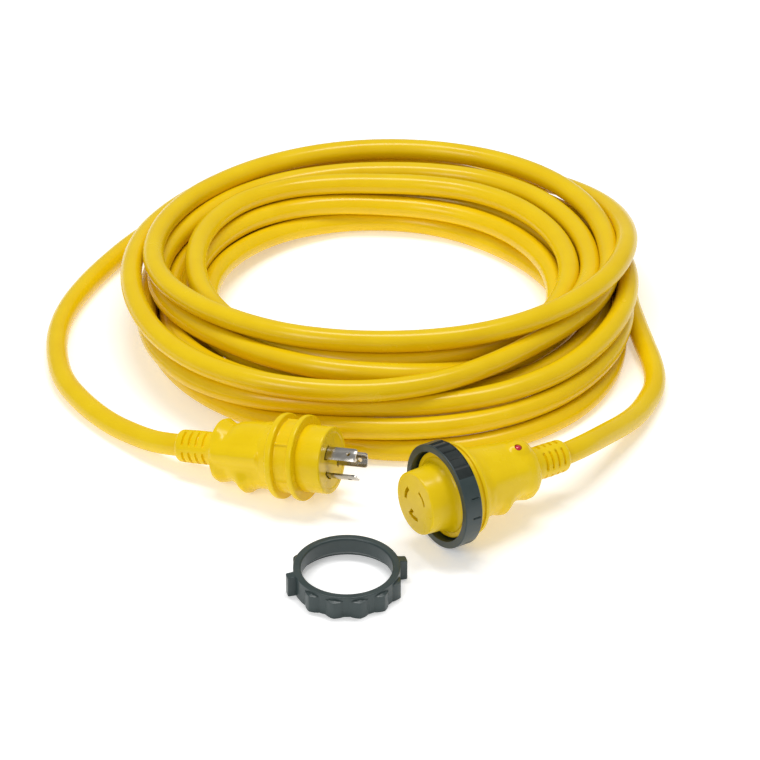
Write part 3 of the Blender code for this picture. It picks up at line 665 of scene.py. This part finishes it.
def build_connector(finishes):
    """The connector: housing with its light, sleeve, nose with three slots, washer and turning ring."""
    matrix = axis_frame(CONNECTOR_FACE, CONNECTOR_AZIMUTH, CONNECTOR_TILT)
    body_end = 0.1050
    grooved_at = 306.0        # direction of the finger grooves
    grooved = table([(0.0500, 0.0286), (0.0560, 0.0268), (0.0620, 0.0266), (0.0660, 0.0282),
                     (0.0690, 0.0288), (0.0720, 0.0272), (0.0760, 0.0242), (0.0800, 0.0224),
                     (0.0840, 0.0218), (0.0880, 0.0226), (0.0925, 0.0238), (0.0960, 0.0236),
                     (0.1000, 0.0214)])
    plain = table([(0.0500, 0.0290), (0.060, 0.0276), (0.070, 0.0262), (0.080, 0.0248),
                   (0.0925, 0.0236), (0.0960, 0.0230), (0.1000, 0.0212)])
    profile = rounded([
        (0.0296, 0.0263), (0.0296, 0.0307), (0.0340, 0.0307), (0.0340, 0.0352, 0.0004),
        (0.0349, 0.0361, 0.0010), (0.0374, 0.0361, 0.0004), (0.0378, 0.0344, 0.0004),
        (0.0398, 0.0344, 0.0004), (0.0402, 0.0361, 0.0004), (0.0428, 0.0361, 0.0010),
        (0.0440, 0.0350, 0.0008), (0.0443, 0.0322, 0.0008), (0.0455, 0.0304, 0.0010),
        (0.0500, 0.0288, 0.003), (0.060, 0.0276, 0.002), (0.070, 0.0262, 0.002), (0.080, 0.0248, 0.002),
        (0.0880, 0.0242, 0.002), (0.0925, 0.0238, 0.002), (0.0960, 0.0232, 0.002),
        (0.1000, 0.0212, 0.002), (0.1035, 0.0180, 0.003), (body_end, 0.0150, 0.001),
        (body_end, 0.0128), (0.0960, 0.0150), (0.0720, 0.0180), (0.0500, 0.0180), (0.0455, 0.0263)],
        0.0004, longest=0.0010)
    lens_s, lens_degrees = 0.0880, 77.0
    boss_s, boss_degrees = 0.0915, 83.0

    def shape(s, angle, r):
        if s < 0.0500 or r < 0.0205 or s > 0.1000:
            return r
        away = abs(turn_from(angle, grooved_at))
        r = mix(plain(s), grooved(s), hill(away, 0.0, 26.0, 30.0))
        side = abs(turn_from(angle, 33.0))
        reach = hill(s, 0.0720, 0.0160, 0.0040)
        r += 0.0008 * max(0.0, 1.0 - side / 22.0) ** 1.5 * reach
        r -= 0.0006 * hill(side, 26.0, 3.0, 18.0) * reach
        across = math.radians(turn_from(angle, boss_degrees)) * 0.0240
        off = math.hypot((s - boss_s) * 0.85, across)
        return r + 0.0026 * hill(off, 0.0, 0.0040, 0.0065)

    body = lathe("connector_housing", profile, matrix, finishes["housing"], 160, shape, closed=True)
    radial = Vector((0.0, math.cos(math.radians(lens_degrees)), math.sin(math.radians(lens_degrees))))
    light = (matrix @ Matrix.Translation((-lens_s, 0.0, 0.0))
             @ Vector((1, 0, 0)).rotation_difference(radial).to_matrix().to_4x4())
    well = lathe("cut_well", [(-0.0150, 0.0), (-0.0150, 0.0029), (-0.0320, 0.0029), (-0.0320, 0.0)],
                 light, finishes["housing"], 40)
    carve(body, [well])
    seat_piece(body, "cord", "housing_yellow", "connector_body")
    lens = lathe("power_light_lens", rounded([
        (-0.0205, 0.0), (-0.0205, 0.0026), (-0.0258, 0.0026, 0.0008), (-0.0266, 0.0015, 0.0010),
        (-0.0269, 0.0)], 0.0003), light, finishes["lens"], 40)
    seat_piece(lens, "cord", "lens_red", "indicator_lens")
    sleeve = build_sleeve("connector_sleeve", "connector_strain_relief", matrix, body_end, 0.0305, -12.0,
                          finishes["housing"])

    face = lathe("connector_nose", rounded([
        (0.0, 0.0), (0.0, 0.0244, 0.0012), (0.0120, 0.0249, 0.002), (0.0190, 0.0258, 0.004),
        (0.0222, 0.0272, 0.002), (0.0240, 0.0300, 0.001), (0.0240, 0.0260), (0.0440, 0.0260),
        (0.0440, 0.0)], 0.0003), matrix, finishes["housing"], 128)
    cutters = []
    for name, (degrees, width, hook) in CONNECTOR_SLOTS.items():
        outline = arc_outline(degrees, width, BLADE_THICKNESS, hook, SLOT_GROWTH[name])
        cutters.append(extrude(f"cut_{name}_slot", outline, [-0.003, 0.0090], matrix, finishes["insert"]))
    carve(face, cutters)
    seat_piece(face, "cord", "insert_yellow", "connector_contact_carrier")
    washer = lathe("ring_retainer", rounded([
        (0.0243, 0.0263), (0.0243, 0.0335, 0.0008), (0.0293, 0.0335, 0.0004), (0.0293, 0.0263)],
        0.0004), matrix, finishes["housing"], 128, closed=True)
    seat_piece(washer, "cord", "insert_yellow", "connector_ring_retainer")

    build_turning_ring(matrix, finishes)
    return [body, lens, sleeve, face, washer]


# ---------------------------------------------------------------- turning ring
GRIP_START, GRIP_SWEEP = 48.0, 65.0      # where a zone of grip pads starts, and how far it reaches
GRIP_PADS = 5                            # in each zone
GRIP_PERIOD = 180.0                      # from one zone to the next
LAND_SLOTS = (94.2, 134.2, 156.1)        # from the start of a zone to the slots in the land after it


def build_turning_ring(matrix, finishes):
    """The connector's locking ring: a plain front rim, two zones of stepped grip pads, and smooth
    lands with short axial slots between them."""
    profile = rounded([
        (0.0296, 0.0352), (0.0190, 0.0352), (0.0190, 0.0356, 0.0003), (0.0190, 0.0402, 0.0008),
        (0.0195, 0.0407, 0.0006), (0.0210, 0.0407, 0.0003), (0.0331, 0.0407, 0.0008),
        (0.0337, 0.0399, 0.0006), (0.0337, 0.0311), (0.0296, 0.0311), (0.0296, 0.0352)], 0.0003,
        longest=0.0006)

    def shape(s, angle, r):
        """Five stepped grip pads, then a plain land with three short slots, twice round."""
        if r < 0.0399 or s < 0.0206:
            return r
        turn = turn_from(angle, GRIP_START) % GRIP_PERIOD
        within_rear = hill(s, 0.0275, 0.0060, 0.0006)
        if turn < GRIP_SWEEP:
            step = turn % (GRIP_SWEEP / GRIP_PADS)
            return r - 0.0011 * hill(step, 7.0, 4.6, 0.9)
        low = 0.0
        for middle in LAND_SLOTS:
            low = max(low, 0.0010 * hill(turn, middle, 0.5, 0.5) * hill(s, 0.0285, 0.0030, 0.0008))
        return r - low * within_rear

    ring = lathe("connector_turning_ring", profile, matrix, finishes["ring"], 480, shape, closed=True,
                 sharp=35.0)
    ring.data.materials.append(finishes["grip"])
    to_axis = matrix.inverted()
    for face in ring.data.polygons:
        x, y, z = to_axis @ face.center
        turn = turn_from(math.atan2(z, y), GRIP_START) % GRIP_PERIOD
        if math.hypot(y, z) > 0.0388 and 0.0200 < -x < 0.0331 and turn < GRIP_SWEEP:
            face.material_index = 1
    seat_piece(ring, "turning_ring", "ring_black", "connector_locking_ring")


# ---------------------------------------------------------------- loose ring
LOBES = 5                    # on each side, between the ears
FIRST_LOBE, LOBE_PITCH = 36.0, 27.0      # from an ear, and from lobe to lobe


def build_loose_ring(finishes):
    """The plug's ring: lobes that stop short of a flat rim, scallops between them, and two ears."""
    bore, rim, valley, ear_tip = 0.0340, 0.0398, 0.0400, 0.0457
    top = 0.0175
    relief, relief_height = 0.0384, 0.0056
    profile = rounded([
        (0.0, relief), (0.0, rim, 0.0010), (0.0010, rim), (top - 0.0030, rim), (top - 0.0014, rim),
        (top, rim, 0.0008), (top, bore + 0.0008, 0.0006), (top - 0.0010, bore, 0.0006),
        (relief_height, bore, 0.0004), (0.0008, relief), (0.0, relief)], 0.0004, longest=0.0006)

    def shape(s, angle, r):
        if r < rim - 0.0013:
            return r
        turn = math.degrees(angle) % 180.0
        away = min(abs(turn - FIRST_LOBE - LOBE_PITCH * i) for i in range(LOBES))
        half = LOBE_PITCH / 2
        flat = rim * (1.0 - math.cos(math.radians(half)) / math.cos(math.radians(half - min(half, away))))
        lobe = 0.0030 * max(0.0, math.cos(math.pi / 2 * min(1.0, away / 11.0))) ** 0.7
        under = hill(s, 0.0070, 0.0070, 0.0009)
        bulge = (valley - rim) * hill(s, 0.0070, 0.0070, 0.0016) + lobe * under
        ear_away = min(turn, 180.0 - turn)
        ear = hill(ear_away, 0.0, 4.4, 0.7) * ((ear_tip - rim) * hill(s, 0.0080, 0.0080, 0.0012))
        return r + max(bulge - flat, ear)

    stand = (Matrix.Translation((*LOOSE_RING_AT, 0.0))
             @ Matrix.Rotation(math.radians(LOOSE_RING_EARS), 4, "Z"))
    upright = Matrix(((0, 1, 0, 0), (0, 0, 1, 0), (-1, 0, 0, 0), (0, 0, 0, 1)))
    ring = lathe("loose_ring", profile, stand @ upright, finishes["ring"], 480, shape, closed=True,
                 sharp=35.0)
    seat_piece(ring, "loose_ring", "ring_black", "plug_locking_ring")


# ---------------------------------------------------------------- the CAD nodes that stay
KEPT = {
    "brass": ("connector_line_contact", "connector_neutral_contact", "connector_ground_contact"),
    "black_wire": ("plug_line_wire", "connector_line_wire"),
    "white_wire": ("plug_neutral_wire", "connector_neutral_wire"),
    "green_wire": ("plug_ground_wire", "connector_ground_wire"),
    "led": ("indicator_led",),
    "resistor": ("indicator_resistor",),
    "lead": ("indicator_line_lead", "indicator_neutral_lead", "indicator_resistor_lead"),
}


def dress_kept(finishes):
    """Gives the CAD nodes that stay their finishes."""
    for key, names in KEPT.items():
        for name in names:
            for material_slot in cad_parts[name].material_slots:
                material_slot.material = finishes[key]


build_stage()
finishes = build_finishes()
cord = build_cord(finishes)
build_plug(finishes)
connector_pieces = build_connector(finishes)
build_loose_ring(finishes)
dress_kept(finishes)
